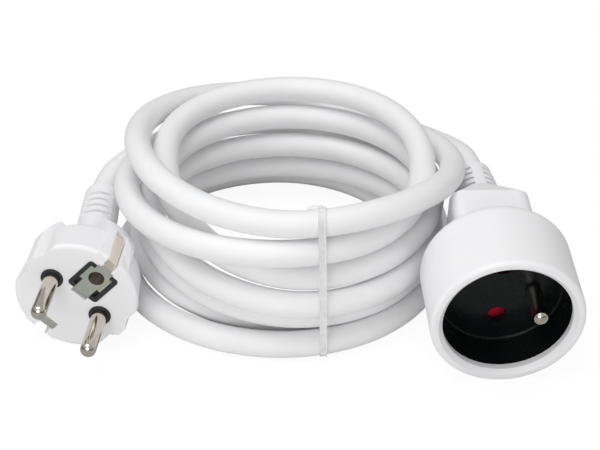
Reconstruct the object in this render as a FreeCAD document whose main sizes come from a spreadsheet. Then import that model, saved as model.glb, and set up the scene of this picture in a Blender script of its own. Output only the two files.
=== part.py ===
"""Extension cord: an earthed plug, a coiled and tied three-core cable and a shuttered socket.

Row frame: millimetres, +Z up, the table is Z = 0. The socket stands over the origin and its mouth
looks towards -Y. The coil and the plug lie to its left, at -X.

Each fitting is built in its own frame and then laid in place. In both, local +Z runs out of the
contact face, local X runs along the line of the two contacts and local Y points to the earth contact.
"""
import FreeCAD, Part
import Sketcher
import math
import os
from FreeCAD import Vector

os.makedirs("parts", exist_ok=True)
doc = FreeCAD.newDocument("extension_cord")

# ---------------------------------------------------------------------------------------------------
# Driving dimensions, all in millimetres or degrees
# ---------------------------------------------------------------------------------------------------
SIZES = [
    # cable: flexible PVC cable with three 1.5 mm2 cores
    ("cable_dia", 8.4),
    # contacts shared by the plug and the socket
    ("pin_dia", 4.8),
    ("pin_neck_dia", 4.0),
    ("pin_length", 19.0),
    ("pin_pitch", 19.0),
    ("earth_offset", 10.0),
    # socket
    ("barrel_dia", 46.6),
    ("barrel_length", 25.0),
    ("barrel_shoulder", 5.0),
    ("mouth_round", 1.4),
    ("recess_dia", 38.8),
    ("recess_depth", 15.0),
    ("recess_bevel", 1.5),
    ("insert_wall", 1.3),
    ("insert_front", 3.5),
    ("floor_thickness", 2.0),
    ("insert_back", 25.0),
    ("pin_hole_dia", 5.9),
    ("earth_pin_length", 14.3),
    ("block_height", 27.2),
    ("block_width", 14.0),
    ("block_back", 40.0),
    ("neck_height", 29.6),
    ("neck_width", 25.0),
    ("neck_round", 4.0),
    ("neck_back", 46.0),
    ("slope_back", 58.0),
    ("relief_root_dia", 15.8),
    ("relief_tip_dia", 12.0),
    ("socket_relief_length", 15.0),
    # plug
    ("face_dia", 38.2),
    ("face_flat", 32.8),
    ("lobe_reach", 18.5),
    ("front_length", 13.0),
    ("plug_length", 28.0),
    ("plug_end_dia", 14.8),
    ("block_reach", 18.2),
    ("strip_seat", 16.3),
    ("relief_from", 22.0),
    ("plug_relief_dia", 13.2),
    ("plug_relief_length", 33.5),
    ("ring_dia", 7.0),
    ("ring_proud", 0.15),
    ("frame_width", 11.2),
    ("frame_near", 2.6),
    ("frame_far", 14.3),
    ("plate_width", 8.2),
    ("plate_neck", 5.6),
    ("strip_thickness", 0.7),
    ("strip_width", 3.4),
    ("strip_length", 15.0),
    ("earth_hole_dia", 5.0),
    # how the fittings lie on the table
    ("socket_yaw", 3.91),
    ("socket_pitch", -5.38),
    ("socket_roll", -2.01),
    ("plug_yaw", -6.18),
    ("plug_pitch", -1.4),
    ("plug_roll", 46.97),
    ("plug_relief_yaw", -1.5),
    ("plug_relief_pitch", -3.0),
]


class Size:
    """A sheet value with the expression that reads it, so that sums of sizes stay bound to the sheet."""

    def __init__(self, value, text):
        self.value = float(value)
        self.text = text

    def _with(self, other, sign):
        value, text = (other.value, other.text) if isinstance(other, Size) else (float(other), repr(other))
        result = {
            "+": self.value + value,
            "-": self.value - value,
            "*": self.value * value,
            "/": self.value / value if value else 0.0,
        }
        return Size(result[sign], "(%s %s %s)" % (self.text, sign, text))

    def __add__(self, other):
        return self._with(other, "+")

    def __sub__(self, other):
        return self._with(other, "-")

    def __mul__(self, other):
        return self._with(other, "*")

    def __truediv__(self, other):
        return self._with(other, "/")

    def __rsub__(self, other):
        return Size(other, repr(float(other))) - self

    def __neg__(self):
        return self._with(-1, "*")


class Sheet:
    """The spreadsheet of driving dimensions, with one Size attribute for each alias."""

    def __init__(self, rows):
        self.sheet = doc.addObject("Spreadsheet::Sheet", "Sizes")
        for number, (alias, value) in enumerate(rows, start=1):
            self.sheet.set("A%d" % number, alias)
            self.sheet.set("B%d" % number, str(value))
            self.sheet.setAlias("B%d" % number, alias)
            setattr(self, alias, Size(value, "Sizes." + alias))


size = Sheet(SIZES)
doc.recompute()
nodes = []


def number(value):
    return value.value if isinstance(value, Size) else float(value)


def bind(obj, prop, value):
    """Set a property and, where the value comes from the sheet, bind it there."""
    if isinstance(value, Size):
        obj.setExpression(prop, value.text)
    else:
        setattr(obj, prop, value)


def finish(obj, label, placement=None):
    """Name a finished sub-part and lay it in place."""
    obj.Label = label
    if placement is not None:
        obj.Placement = placement
    nodes.append(obj)
    return obj


# ---------------------------------------------------------------------------------------------------
# Helpers for Part primitives and for PartDesign bodies
# ---------------------------------------------------------------------------------------------------
def set_place(obj, x, y, z):
    for axis, value in (("x", x), ("y", y), ("z", z)):
        if isinstance(value, Size):
            obj.setExpression(".Placement.Base.%s" % axis, value.text)
        else:
            base = obj.Placement.Base
            setattr(base, axis, float(value))
            obj.Placement.Base = base


def cylinder(name, radius, height, x=0, y=0, z=0):
    obj = doc.addObject("Part::Cylinder", name)
    bind(obj, "Radius", radius)
    bind(obj, "Height", height)
    set_place(obj, x, y, z)
    return obj


def cone(name, radius1, radius2, height, x=0, y=0, z=0):
    obj = doc.addObject("Part::Cone", name)
    bind(obj, "Radius1", radius1)
    bind(obj, "Radius2", radius2)
    bind(obj, "Height", height)
    set_place(obj, x, y, z)
    return obj


def box(name, dx, dy, dz, x, y, z):
    """A box centred on x and y, standing on z."""
    obj = doc.addObject("Part::Box", name)
    bind(obj, "Length", dx)
    bind(obj, "Width", dy)
    bind(obj, "Height", dz)
    dx = dx if isinstance(dx, Size) else Size(dx, repr(dx))
    dy = dy if isinstance(dy, Size) else Size(dy, repr(dy))
    set_place(obj, -dx / 2 + x, -dy / 2 + y, z)
    return obj


def fuse(name, *parts):
    obj = doc.addObject("Part::MultiFuse", name)
    obj.Shapes = list(parts)
    return obj


def cut(name, base, tool):
    obj = doc.addObject("Part::Cut", name)
    obj.Base = base
    obj.Tool = tool
    return obj


def new_sketch(body, name, plane, offset=None):
    """A sketch on one of the body's own origin planes, moved along the plane's normal by an offset."""
    sketch = body.newObject("Sketcher::SketchObject", name)
    support = [f for f in body.Origin.OriginFeatures if f.Role == plane][0]
    sketch.AttachmentSupport = [(support, "")]
    sketch.MapMode = "FlatFace"
    if offset is not None:
        bind_offset(sketch, offset)
    return sketch


def bind_offset(sketch, offset):
    if isinstance(offset, Size):
        sketch.setExpression(".AttachmentOffset.Base.z", offset.text)
    else:
        sketch.AttachmentOffset = FreeCAD.Placement(Vector(0, 0, offset), FreeCAD.Rotation())


def pin_point(sketch, edge, end, x, y):
    """Fix a point of the sketch at x, y from its origin, bound to the sheet."""
    for kind, value in (("DistanceX", x), ("DistanceY", y)):
        index = sketch.addConstraint(sketcher_distance(kind, edge, end, number(value)))
        if isinstance(value, Size):
            sketch.setExpression("Constraints[%d]" % index, value.text)


def sketcher_distance(kind, edge, end, value):
    return Sketcher.Constraint(kind, -1, 1, edge, end, value)


def outline(sketch, points):
    """Close a profile through the points. A point (x, y, r) is reached by an arc of radius r, which
    bulges to the left of the way there when r is positive and to the right when it is negative."""
    spots = [Vector(number(p[0]), number(p[1]), 0) for p in points]
    first = sketch.GeometryCount
    for i, point in enumerate(points):
        start = spots[i - 1]
        end = spots[i]
        if len(point) == 2:
            sketch.addGeometry(Part.LineSegment(start, end), False)
            continue
        radius = number(point[2])
        chord = end - start
        side = Vector(-chord.y, chord.x, 0).normalize() * (1 if radius > 0 else -1)
        depth = abs(radius) - math.sqrt(max(radius ** 2 - (chord.Length / 2) ** 2, 0))
        middle = (start + end) / 2 + side * depth
        arc = Part.Arc(end, middle, start) if radius > 0 else Part.Arc(start, middle, end)
        sketch.addGeometry(arc, False)
    count = len(points)
    ends = {}
    for i, point in enumerate(points):
        backward = len(point) == 3 and number(point[2]) > 0
        ends[i] = (first + i, 1 if backward else 2, 2 if backward else 1)
    for i, point in enumerate(points):
        edge, last, _ = ends[i]
        following, _, start = ends[(i + 1) % count]
        sketch.addConstraint(Sketcher.Constraint("Coincident", edge, last, following, start))
        pin_point(sketch, edge, last, point[0], point[1])
        if len(point) == 3:
            value = point[2] if number(point[2]) > 0 else -point[2]
            index = sketch.addConstraint(Sketcher.Constraint("Radius", edge, number(value)))
            if isinstance(value, Size):
                sketch.setExpression("Constraints[%d]" % index, value.text)



def rounded_rectangle(sketch, width, height, radius):
    """A rectangle about the sketch's origin with its corners rounded."""
    x = width / 2
    y = height / 2
    outline(sketch, [
        (x, y - radius), (x - radius, y, -radius),
        (radius - x, y), (-x, y - radius, -radius),
        (-x, radius - y), (radius - x, -y, -radius),
        (x - radius, -y), (x, radius - y, -radius),
    ])


def circle(sketch, radius, x=0, y=0):
    edge = sketch.addGeometry(Part.Circle(Vector(number(x), number(y), 0), Vector(0, 0, 1), number(radius)), False)
    pin_point(sketch, edge, 3, x, y)
    index = sketch.addConstraint(Sketcher.Constraint("Radius", edge, number(radius)))
    if isinstance(radius, Size):
        sketch.setExpression("Constraints[%d]" % index, radius.text)


def revolve(body, name, points):
    """Turn a profile in the body's XZ plane (radius, height) once round its Z axis."""
    sketch = new_sketch(body, name + "_profile", "XZ_Plane")
    outline(sketch, points)
    feature = body.newObject("PartDesign::Revolution", name)
    feature.Profile = sketch
    feature.ReferenceAxis = (sketch, ["V_Axis"])
    feature.Angle = 360
    return feature


def pad(body, name, sketch, length, reversed_side=False, midplane=False):
    feature = body.newObject("PartDesign::Pad", name)
    feature.Profile = sketch
    bind(feature, "Length", length)
    feature.Reversed = reversed_side
    feature.Midplane = midplane
    return feature


def pocket(body, name, sketch, length, reversed_side=False, midplane=False):
    feature = body.newObject("PartDesign::Pocket", name)
    feature.Profile = sketch
    bind(feature, "Length", length)
    feature.Reversed = reversed_side
    feature.Midplane = midplane
    return feature


def loft(body, name, sections):
    feature = body.newObject("PartDesign::AdditiveLoft", name)
    feature.Profile = sections[0]
    feature.Sections = sections[1:]
    feature.Ruled = True
    return feature


def laid(base, yaw, pitch, roll):
    """The place of a fitting: its +Z points along yaw (from -Y towards +X) and pitch, and its X
    points down, turned by roll about +Z."""
    a, b, c = math.radians(number(yaw)), math.radians(number(pitch)), math.radians(number(roll))
    out = Vector(math.sin(a) * math.cos(b), -math.cos(a) * math.cos(b), math.sin(b))
    up = Vector(0, 0, 1)
    down = (out * up.dot(out) - up).normalize()
    side = out.cross(down)
    x = down * math.cos(c) + side * math.sin(c)
    y = out.cross(x)
    return FreeCAD.Placement(base, FreeCAD.Rotation(x, y, out, "ZXY"))


# ---------------------------------------------------------------------------------------------------
# Socket
# ---------------------------------------------------------------------------------------------------
SOCKET_MOUTH = Vector(0.9, -35.33, 23.08)
PLUG_FACE = Vector(-129.4, -16.0, 19.1)
socket_place = laid(SOCKET_MOUTH, size.socket_yaw, size.socket_pitch, size.socket_roll)
plug_place = laid(PLUG_FACE, size.plug_yaw, size.plug_pitch, size.plug_roll)
plug_relief_place = laid(plug_place.multVec(Vector(0, 0, -number(size.relief_from))),
                         size.plug_relief_yaw, size.plug_relief_pitch, 0)
recess_r = size.recess_dia / 2
insert_r = recess_r + size.insert_wall
barrel_r = size.barrel_dia / 2


def socket_housing():
    """The soft white overmould: a barrel round the mouth, a rounded shoulder and a flat-sided neck
    that houses the contacts and slopes down to the cable."""
    body = doc.addObject("PartDesign::Body", "SocketHousing")
    shoulder = size.barrel_length + size.barrel_shoulder
    floor = -size.insert_back
    revolve(body, "Barrel", [
        (recess_r + 0.15, -size.insert_front),
        (recess_r + 0.15, -size.recess_bevel),
        (recess_r + size.recess_bevel, 0),
        (barrel_r - size.mouth_round, 0),
        (barrel_r, -size.mouth_round, size.mouth_round),
        (barrel_r, -size.barrel_length),
        (barrel_r - size.barrel_shoulder, -shoulder, size.barrel_shoulder),
        (0, -shoulder - 1.5),
        (0, floor),
        (insert_r, floor),
        (insert_r, -size.insert_front),
    ])
    neck = new_sketch(body, "neck_outline", "XY_Plane", -size.insert_back)
    rounded_rectangle(neck, size.neck_height, size.neck_width, size.neck_round)
    pad(body, "Neck", neck, size.neck_back - size.insert_back, reversed_side=True)
    top = new_sketch(body, "slope_top", "XY_Plane", -size.neck_back)
    rounded_rectangle(top, size.neck_height, size.neck_width, size.neck_round)
    root = new_sketch(body, "slope_root", "XY_Plane", -size.slope_back)
    root_d = size.relief_root_dia
    rounded_rectangle(root, root_d + 1, root_d, root_d * 0.48)
    loft(body, "Slope", [top, root])
    block = new_sketch(body, "block_outline", "XY_Plane", floor)
    x = size.block_height / 2
    y = size.block_width / 2
    outline(block, [(x, -y), (x, y), (-x, y), (-x, -y)])
    pocket(body, "BlockChamber", block, size.block_back - size.insert_back)
    return finish(body, "socket_housing", socket_place)


def relief_slots(name, first, pitch, count, inner_r, spine, turn=0):
    """Ring-shaped slots round a bend relief, left whole along a spine on two opposite sides: those of
    local X, turned by an angle."""
    slots = []
    for i in range(count):
        z = first - pitch * i
        ring = cut("%sRing%d" % (name, i), cylinder("%sOuter%d" % (name, i), 12, 1.2, z=z),
                   cylinder("%sInner%d" % (name, i), inner_r, 3, z=z - 1))
        slots.append(cut("%sSlot%d" % (name, i), ring, box("%sSpine%d" % (name, i), 30, spine, 4, 0, 0, z - 1)))
    slots = fuse(name + "Slots", *slots)
    slots.Placement = FreeCAD.Placement(Vector(0, 0, 0), FreeCAD.Rotation(Vector(0, 0, 1), turn))
    return slots


def socket_strain_relief():
    """The tapered bend relief behind the socket's neck, slotted four times at each side."""
    length = size.socket_relief_length
    taper = cone("SocketTaper", size.relief_tip_dia / 2, size.relief_root_dia / 2, length,
                 z=-size.slope_back - length)
    slots = relief_slots("SocketRelief", -size.slope_back - 2.4, 3.2, 4, 4.7, 3.6)
    return finish(cut("SocketStrainRelief", taper, slots), "socket_strain_relief", socket_place)


def socket_insert():
    """The hard black cup pressed round by the overmould: a wall, the floor that meets the plug's face
    with its two contact holes and earth pin hole, and a skirt round the shutter's pocket."""
    body = doc.addObject("PartDesign::Body", "SocketInsert")
    floor = -size.recess_depth
    under = floor - size.floor_thickness
    revolve(body, "Cup", [
        (recess_r, -size.insert_front),
        (recess_r, floor),
        (0, floor),
        (0, under),
        (recess_r - 1.2, under),
        (recess_r - 1.2, -size.insert_back),
        (insert_r, -size.insert_back),
        (insert_r, -size.insert_front),
    ])
    holes = new_sketch(body, "contact_holes", "XY_Plane", floor)
    circle(holes, size.pin_hole_dia / 2, size.pin_pitch / 2, 0)
    circle(holes, size.pin_hole_dia / 2, -size.pin_pitch / 2, 0)
    circle(holes, size.pin_neck_dia / 2 + 0.05, 0, size.earth_offset)
    pocket(body, "ContactHoles", holes, size.floor_thickness)
    return finish(body, "socket_insert", socket_place)


def contact_carrier():
    """The inner moulding that closes the shutter's pocket and holds the contacts in two deep cells."""
    front = -(size.recess_depth + size.floor_thickness + 4.2)
    back = -size.block_back
    disc = cylinder("CarrierDisc", recess_r - 1.25, front + size.insert_back, z=-size.insert_back)
    block = box("CarrierBlock", size.block_height - 0.2, size.block_width - 0.2, size.block_back - size.insert_back,
                0, 0, back)
    body = fuse("CarrierBody", disc, block)
    cells = [box("CarrierCell%d" % i, 7.2, 8.4, size.block_back - 15, size.pin_pitch / 2 * side, 0, back + 1)
             for i, side in enumerate((1, -1))]
    seat = cylinder("EarthSeat", 3.6, 3.2, y=size.earth_offset, z=front - 1.2)
    shank = cylinder("EarthBore", 1.65, 9, y=size.earth_offset, z=front - 6)
    return finish(cut("ContactCarrier", body, fuse("CarrierCells", seat, shank, *cells)), "contact_carrier",
                  socket_place)


def contact(label, side):
    """A sprung contact folded from brass strip: two leaves that pinch the pin, joined by a base."""
    body = doc.addObject("PartDesign::Body", "Contact" + label)
    profile = new_sketch(body, "folded_strip_" + label, "YZ_Plane", size.pin_pitch / 2 * side - 2.8)
    top = -(size.recess_depth + size.floor_thickness + 5.4)
    base = -size.block_back + 1.0
    gap = size.pin_dia / 2 - 0.35
    leaf = 0.6
    outline(profile, [
        (gap + 1.2, top),
        (gap, top - 3.5),
        (gap + 0.9, top - 9),
        (gap + 0.9, base + leaf + 0.6),
        (gap + 0.3, base + leaf),
        (-gap - 0.3, base + leaf),
        (-gap - 0.9, base + leaf + 0.6),
        (-gap - 0.9, top - 9),
        (-gap, top - 3.5),
        (-gap - 1.2, top),
        (-gap - 1.2 - leaf, top),
        (-gap - leaf, top - 3.5),
        (-gap - 0.9 - leaf, top - 9),
        (-gap - 0.9 - leaf, base + 0.6),
        (-gap - 0.3 - leaf, base),
        (gap + 0.3 + leaf, base),
        (gap + 0.9 + leaf, base + 0.6),
        (gap + 0.9 + leaf, top - 9),
        (gap + leaf, top - 3.5),
        (gap + 1.2 + leaf, top),
    ])
    pad(body, "Strip" + label, profile, 5.6)
    return finish(body, "contact_spring_" + label, socket_place)


def round_pin(name, radius, tip, root, extra):
    """A turned pin: a domed tip, a straight side down to root, then the steps of its back end."""
    body = doc.addObject("PartDesign::Body", name)
    revolve(body, name + "Turned", [
        (0, tip),
        (radius * 0.55, tip - radius * 0.18, -radius * 1.3),
        (radius, tip - radius * 0.85, -radius * 0.8),
        (radius, root),
    ] + extra)
    return body


def earth_pin():
    """The socket's fixed earth pin, with the collar that seats under the cup's floor and a rear shank."""
    floor = -size.recess_depth
    under = floor - size.floor_thickness
    collar = under - 4.2
    body = round_pin("EarthPin", size.pin_dia / 2, floor + size.earth_pin_length, floor, [
        (size.pin_neck_dia / 2, floor),
        (size.pin_neck_dia / 2, collar + 2.0),
        (Size(3.5, "3.5"), collar + 2.0),
        (Size(3.5, "3.5"), collar - 1.1),
        (Size(1.6, "1.6"), collar - 1.1),
        (Size(1.6, "1.6"), collar - 3.6),
        (0, collar - 3.6),
    ])
    shift = FreeCAD.Placement(Vector(0, number(size.earth_offset), 0), FreeCAD.Rotation())
    return finish(body, "earth_pin", socket_place.multiply(shift))


def shutter():
    """The red safety shutter: two sloped wedges, one behind each contact hole, joined by a bar. Two
    pins together push it aside, away from the earth pin."""
    body = doc.addObject("PartDesign::Body", "Shutter")
    under = -(size.recess_depth + size.floor_thickness + 0.3)
    wedge = new_sketch(body, "wedge_profile", "YZ_Plane")
    outline(wedge, [
        (-3.7, under),
        (-2.9, under),
        (3.5, under - 2.7),
        (3.5, under - 3.5),
        (-3.7, under - 3.5),
    ])
    length = size.pin_pitch + 8.0
    pad(body, "Wedges", wedge, length, midplane=True)
    middle = new_sketch(body, "middle_gap", "YZ_Plane")
    outline(middle, [
        (4.0, under + 0.5),
        (-4.0, under + 0.5),
        (-4.0, under - 1.6),
        (-0.5, under - 1.6),
        (-0.5, under - 4.0),
        (4.0, under - 4.0),
    ])
    pocket(body, "Bar", middle, size.pin_pitch - 8.0, midplane=True)
    return finish(body, "shutter", socket_place)


def shutter_spring():
    """The small compression spring that closes the shutter, seated against the cup's skirt."""
    obj = doc.addObject("Part::Feature", "ShutterSpring")
    start = -3.9
    end = -(number(recess_r) - 1.25) + 0.35
    height = -(number(size.recess_depth) + number(size.floor_thickness) + 2.9)
    coils = Part.makeHelix((start - end) / 5.0, start - end, 0.95)
    ring = Part.Wire([Part.makePolygon([Vector(0.95 + 0.22 * math.cos(i * math.pi / 3), 0,
                                               0.22 * math.sin(i * math.pi / 3)) for i in range(7)])])
    wire = coils.makePipeShell([ring], True, True)
    wire.rotate(Vector(0, 0, 0), Vector(1, 0, 0), 90)
    wire.translate(Vector(0, start, height))
    obj.Shape = wire
    return finish(obj, "shutter_spring", socket_place.multiply(wire.Placement))


# ---------------------------------------------------------------------------------------------------
# Plug
# ---------------------------------------------------------------------------------------------------
face_r = size.face_dia / 2


def plug_body():
    """The soft white overmould of the plug: a round front that fits a socket's recess, flattened at
    each end of the pin line with a finger lobe on the flat, a block with a slot for each earth strip,
    and a back that narrows to the cable."""
    body = doc.addObject("PartDesign::Body", "PlugBody")
    edge = 1.2
    end_r = size.plug_end_dia / 2
    revolve(body, "Turned", [
        (0, 0),
        (face_r - edge, 0),
        (face_r, -edge, Size(edge, repr(edge))),
        (face_r - 1.1, -size.front_length + 3),
        (face_r - 1.5, -size.front_length),
        (12.0, -20.0, Size(16.0, "16.0")),
        (end_r, -size.plug_length, Size(-24.0, "-24.0")),
        (0, -size.plug_length),
    ])
    flats = new_sketch(body, "flank_flats", "XY_Plane", 0.0)
    flat = size.face_flat / 2
    for sign in (1, -1):
        outline(flats, [(flat * sign, 14), (24 * sign, 14), (24 * sign, -14), (flat * sign, -14)])
    pocket(body, "FlankFlats", flats, 30)
    lobes = new_sketch(body, "finger_lobes", "XY_Plane", 0.0)
    reach = size.lobe_reach
    for sign in (1, -1):
        outline(lobes, [
            (flat * sign - 3 * sign, -3.4),
            (reach * sign - 1.3 * sign, -3.1),
            (reach * sign, -1.8, Size(1.6 * sign, repr(1.6 * sign))),
            (reach * sign, 1.6),
            (flat * sign - 0.3 * sign, 6.5, Size(9.0 * sign, repr(9.0 * sign))),
            (flat * sign - 3 * sign, 6.5),
        ])
    pad(body, "FingerLobes", lobes, 17.5, reversed_side=True)
    blocks = new_sketch(body, "strip_blocks", "XY_Plane", 0.0)
    for sign in (1, -1):
        outer = size.block_reach * sign
        outline(blocks, [(-5.6, 8 * sign), (-5.6, outer), (5.6, outer), (5.6, 8 * sign)])
    pad(body, "StripBlocks", blocks, 24.6, reversed_side=True)
    shape = new_sketch(body, "back_rounding", "XZ_Plane")
    outline(shape, [
        (face_r + 0.1, 1),
        (face_r - 0.5, -size.front_length),
        (16.0, -20.5, Size(22.0, "22.0")),
        (13.0, -24.6, Size(6.0, "6.0")),
        (26, -24.6),
        (26, 1),
    ])
    rounding = body.newObject("PartDesign::Groove", "BackRounding")
    rounding.Profile = shape
    rounding.ReferenceAxis = (shape, ["V_Axis"])
    rounding.Angle = 360
    slots = new_sketch(body, "strip_slots", "XY_Plane", 0.0)
    for sign in (1, -1):
        floor = size.strip_seat * sign
        outline(slots, [(2.15, floor), (2.15, 23 * sign), (-2.15, 23 * sign), (-2.15, floor)])
    pocket(body, "StripSlots", slots, size.strip_length + 1.0)
    half_pitch = size.pin_pitch / 2
    rings = new_sketch(body, "ring_seats", "XY_Plane", 0.0)
    circle(rings, size.ring_dia / 2, half_pitch, 0)
    circle(rings, size.ring_dia / 2, -half_pitch, 0)
    pocket(body, "RingSeats", rings, 3.0)
    frame = new_sketch(body, "frame_seat", "XY_Plane", 0.0)
    frame_outline(frame)
    pocket(body, "FrameSeat", frame, 3.0)
    neck = size.plate_neck / 2 + 0.1
    near = new_sketch(body, "plate_necks", "XY_Plane", 0.0)
    outline(near, [(neck, 1.0), (neck, size.frame_near + 0.5), (-neck, size.frame_near + 0.5), (-neck, 1.0)])
    outline(near, [(neck, -12.6), (neck, -15.6), (-neck, -15.6), (-neck, -12.6)])
    outline(near, [(neck, 14.0), (neck, 14.9), (-neck, 14.9), (-neck, 14.0)])
    pocket(body, "PlateNecks", near, 3.0)
    far = new_sketch(body, "plate_ends", "XY_Plane", 0.0)
    for sign in (1, -1):
        outline(far, [(1.8, 14.8 * sign), (1.8, 17 * sign), (-1.8, 17 * sign), (-1.8, 14.8 * sign)])
    pocket(body, "PlateEnds", far, 2.2)
    channel = new_sketch(body, "strip_channel", "XY_Plane", -1.8)
    outline(channel, [(neck, -13.0), (neck, 2.0), (-neck, 2.0), (-neck, -13.0)])
    pocket(body, "StripChannel", channel, 1.2)
    plate = new_sketch(body, "bridge_seat", "XY_Plane", -3.0)
    bridge_outline(plate, 0.05)
    pocket(body, "BridgeSeat", plate, 3.0)
    bores = new_sketch(body, "contact_bores", "XY_Plane", -6.0)
    circle(bores, size.pin_neck_dia / 2, half_pitch, 0)
    circle(bores, size.pin_neck_dia / 2, -half_pitch, 0)
    circle(bores, 3.2, 0, size.earth_offset)
    pocket(body, "ContactBores", bores, 7.2)
    return finish(body, "plug_body", plug_place)


def frame_outline(sketch):
    """The outline of the bridge's frame round the earth plate."""
    x = size.frame_width / 2
    r = Size(1.2, "1.2")
    low = size.frame_near
    high = size.frame_far
    outline(sketch, [
        (x, high - r), (x - r, high, -r),
        (r - x, high), (-x, high - r, -r),
        (-x, low + r), (r - x, low, -r),
        (x - r, low), (x, low + r, -r),
    ])


def bridge_outline(sketch, gap):
    """The outline of the bridge's hidden plate: a bar across both pins with a tongue to the earth hole."""
    x = size.pin_pitch / 2 + 4.2 + gap
    edge = size.frame_width / 2 + gap
    top = size.frame_far + gap
    side = Size(4.5 + gap, repr(4.5 + gap))
    outline(sketch, [
        (x, -side), (x, side), (edge, side), (edge, top),
        (-edge, top), (-edge, side), (-x, side), (-x, -side),
    ])


def pin_bridge():
    """The hard dark bridge that holds the contacts: a collar round each pin and a frame of two bars
    with lips round the earth plate come flush with the face, and a plate behind joins them."""
    body = doc.addObject("PartDesign::Body", "PinBridge")
    half_pitch = size.pin_pitch / 2
    plate = new_sketch(body, "bridge_plate", "XY_Plane", -6.0)
    bridge_outline(plate, 0.0)
    pad(body, "Plate", plate, 3.0)
    raised = new_sketch(body, "raised_outlines", "XY_Plane", -3.0)
    circle(raised, size.ring_dia / 2, half_pitch, 0)
    circle(raised, size.ring_dia / 2, -half_pitch, 0)
    frame_outline(raised)
    pad(body, "Raised", raised, size.ring_proud + 3.0)
    tray = new_sketch(body, "plate_tray", "XY_Plane", 0.5)
    wide = size.plate_width / 2 + 0.1
    neck = size.plate_neck / 2 + 0.1
    low = size.frame_near
    high = size.frame_far
    lip = 1.4
    outline(tray, [
        (wide, low + lip), (wide, high - lip), (neck, high - lip),
        (neck, high + 1), (-neck, high + 1), (-neck, high - lip),
        (-wide, high - lip), (-wide, low + lip), (-neck, low + lip),
        (-neck, low - 1), (neck, low - 1), (neck, low + lip),
    ])
    pocket(body, "Tray", tray, 1.55)
    bores = new_sketch(body, "bridge_bores", "XY_Plane", 0.5)
    circle(bores, size.pin_neck_dia / 2, half_pitch, 0)
    circle(bores, size.pin_neck_dia / 2, -half_pitch, 0)
    circle(bores, 3.2, 0, size.earth_offset)
    pocket(body, "BridgeBores", bores, 8.0)
    return finish(body, "pin_bridge", plug_place)


def plug_pin(label, side):
    """One of the plug's two solid pins, with a domed tip, a shoulder that seats on the bridge's collar
    and a narrower shank through the bridge."""
    back = Size(-10.0, "-10.0")
    body = round_pin("PlugPin" + label, size.pin_dia / 2, size.pin_length, size.ring_proud, [
        (size.pin_neck_dia / 2, size.ring_proud),
        (size.pin_neck_dia / 2, back),
        (0, back),
    ])
    shift = FreeCAD.Placement(Vector(number(size.pin_pitch) / 2 * side, 0, 0), FreeCAD.Rotation())
    return finish(body, "plug_pin_" + label, plug_place.multiply(shift))


def earth_clip():
    """The earth contact, bent from one strip: a springy side strip in each slot, folded over the rim
    and joined across the face by a plate with the hole for a socket's earth pin. Between the pins the
    strip runs under the face."""
    body = doc.addObject("PartDesign::Body", "EarthClip")
    top = Size(-0.2, "-0.2")
    thick = size.strip_thickness
    low = top - 1.7
    inner = size.strip_seat + 0.1
    outer = inner + thick
    back = -size.strip_length
    sides = new_sketch(body, "side_strips", "YZ_Plane")
    for sign in (1, -1):
        outline(sides, [
            (outer * sign, back),
            (outer * sign, -1.9),
            (15.6 * sign, top),
            (13.5 * sign, top),
            (13.5 * sign, top - thick),
            (15.3 * sign, top - thick),
            (inner * sign, -2.2),
            (inner * sign, back),
        ])
    pad(body, "SideStrips", sides, size.strip_width, midplane=True)
    run = new_sketch(body, "middle_run", "YZ_Plane")
    outline(run, [
        (14.8, top),
        (2.2, top),
        (1.3, low),
        (-12.7, low),
        (-13.4, top),
        (-15.4, top),
        (-15.4, top - thick),
        (-14.1, top - thick),
        (-13.4, low - thick),
        (1.6, low - thick),
        (2.5, top - thick),
        (14.8, top - thick),
    ])
    pad(body, "MiddleRun", run, size.plate_neck, midplane=True)
    plate = new_sketch(body, "plate_outline", "XY_Plane", top - thick)
    x = size.plate_width / 2
    outline(plate, [(x, 6.8), (x, 12.7), (-x, 12.7), (-x, 6.8)])
    pad(body, "Plate", plate, thick)
    leaf = new_sketch(body, "leaf_outline", "XY_Plane", top)
    outline(leaf, [(3.1, 7.0), (3.1, 12.5), (3.9, 12.5), (3.9, 7.0)])
    pad(body, "SpringLeaf", leaf, 0.5)
    hole = new_sketch(body, "earth_hole", "XY_Plane", 0.0)
    circle(hole, size.earth_hole_dia / 2, 0, size.earth_offset)
    pocket(body, "EarthHole", hole, 1.5)
    return finish(body, "earth_clip", plug_place)


def earth_sleeve():
    """The split sleeve behind the earth plate, which grips the socket's earth pin."""
    length = 12.0
    back = -0.9 - length
    middle = size.earth_offset
    outer = cylinder("SleeveOuter", 3.15, length, y=middle, z=back)
    bore = cylinder("SleeveBore", size.earth_hole_dia / 2, length + 2, y=middle, z=back - 1)
    split = box("SleeveSplit", 0.8, 4.0, length + 2, 0, middle + 3.0, back - 1)
    return finish(cut("EarthSleeve", outer, fuse("SleeveHollow", bore, split)), "earth_sleeve", plug_place)


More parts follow.
